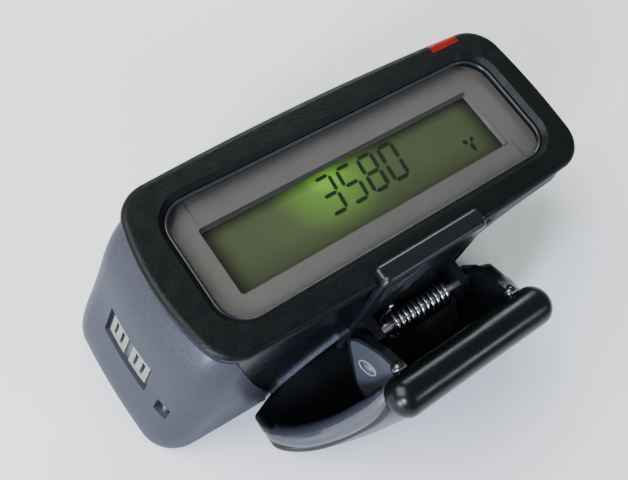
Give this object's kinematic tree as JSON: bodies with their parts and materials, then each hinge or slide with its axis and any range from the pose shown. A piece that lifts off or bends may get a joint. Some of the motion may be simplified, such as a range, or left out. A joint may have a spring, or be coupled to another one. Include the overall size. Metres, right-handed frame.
{
  "type": "pager",
  "caption": "Belt-worn pager: display on the narrow top face, flared rear housing with charge contacts, sprung belt clip on the wearer's side.",
  "frame": {"origin": "on the flat base, straight under the centre of the display face", "axes": "+X along the display to the right, +Y towards the display's upper edge, +Z out of the display face"},
  "size_m": [0.0731, 0.0449, 0.0332],
  "materials": {
    "black_textured": "fine spark-eroded grain, satin black",
    "black_gloss": "polished black",
    "silver_paint": "satin silver paint",
    "clear_window": "clear polished acrylic",
    "gray_print": "satin warm gray print",
    "lcd_olive": "reflective display glass",
    "lcd_dark": "dark electrode",
    "light_white": "moulded light guide",
    "led_green": "green emitter",
    "led_red": "red emitter",
    "red_lens": "polished translucent red",
    "rubber_black": "matte",
    "contact_gray": "light gray insulating plastic",
    "contact_metal": "bright nickel plate",
    "steel": "plated steel",
    "spring_steel": "bright spring wire",
    "pcb_green": "solder resist",
    "tin_can": "tinned sheet",
    "chip_black": "moulded epoxy",
    "copper_strip": "bare strip",
    "buzzer_black": "moulded case",
    "cell_jacket": "plain printed jacket",
    "cheek_gray": "satin gray",
    "key_gray": "satin keypad rubber"
  },
  "bodies": {
    "pager_body": {"front_bezel": "black_textured", "window_lens": "clear_window", "window_mask": "gray_print", "lcd_glass": "lcd_olive", "lcd_segments": "lcd_dark", "light_guide": "light_white", "backlight_led": "led_green", "zebra_strips": "rubber_black", "lcd_holder": "light_white", "alert_lens": "red_lens", "alert_led": "led_red", "rear_housing": "silver_paint", "housing_seal": "rubber_black", "side_panel": "black_gloss", "contact_block": "contact_gray", "charge_contacts": "contact_metal", "strap_pin": "steel", "main_pcb": "pcb_green", "rf_shield": "tin_can", "controller_chip": "chip_black", "crystal_can": "tin_can", "antenna_loop": "copper_strip", "buzzer": "buzzer_black", "cell": "cell_jacket", "cell_contacts": "contact_metal", "motor": "tin_can", "motor_boot": "rubber_black", "switch_board": "pcb_green", "switch_domes": "steel", "case_screws": "steel", "clip_bracket": "black_gloss", "bracket_screws": "steel", "clip_pin": "steel", "clip_spring": "spring_steel"},
    "clip_lever": {"clip_cheeks": "cheek_gray", "clip_paddle": "black_gloss", "clip_grip": "black_gloss"},
    "read_key": {"read_button": "key_gray"},
    "select_key": {"select_button": "key_gray"},
    "cell_door": {"battery_door": "silver_paint"},
    "vibrator_weight": {"motor_weight": "steel"}
  },
  "joints": [
    {"name": "clip_hinge", "type": "hinge", "parent": "pager_body", "child": "clip_lever", "pos_m": [0, -0.0174, 0.018], "axis": [-1, 0, 0], "range_deg": [0, 25], "stiffness_Nm_per_rad": 0.12, "springref_deg": -28.65},
    {"name": "read_key_slide", "type": "slide", "parent": "pager_body", "child": "read_key", "axis": [0, -1, 0], "range_m": [0, 0.0005], "stiffness_N_per_m": 1200, "springref_m": -0.0004},
    {"name": "select_key_slide", "type": "slide", "parent": "pager_body", "child": "select_key", "axis": [0, -1, 0], "range_m": [0, 0.0005], "stiffness_N_per_m": 1200, "springref_m": -0.0004},
    {"name": "cell_door_slide", "type": "slide", "parent": "pager_body", "child": "cell_door", "axis": [1, 0, 0], "range_m": [0, 0.046]},
    {"name": "vibrator_spin", "type": "hinge", "parent": "pager_body", "child": "vibrator_weight", "pos_m": [0.027, 0.0032, 0.0152], "axis": [1, 0, 0], "continuous": true}
  ]
}
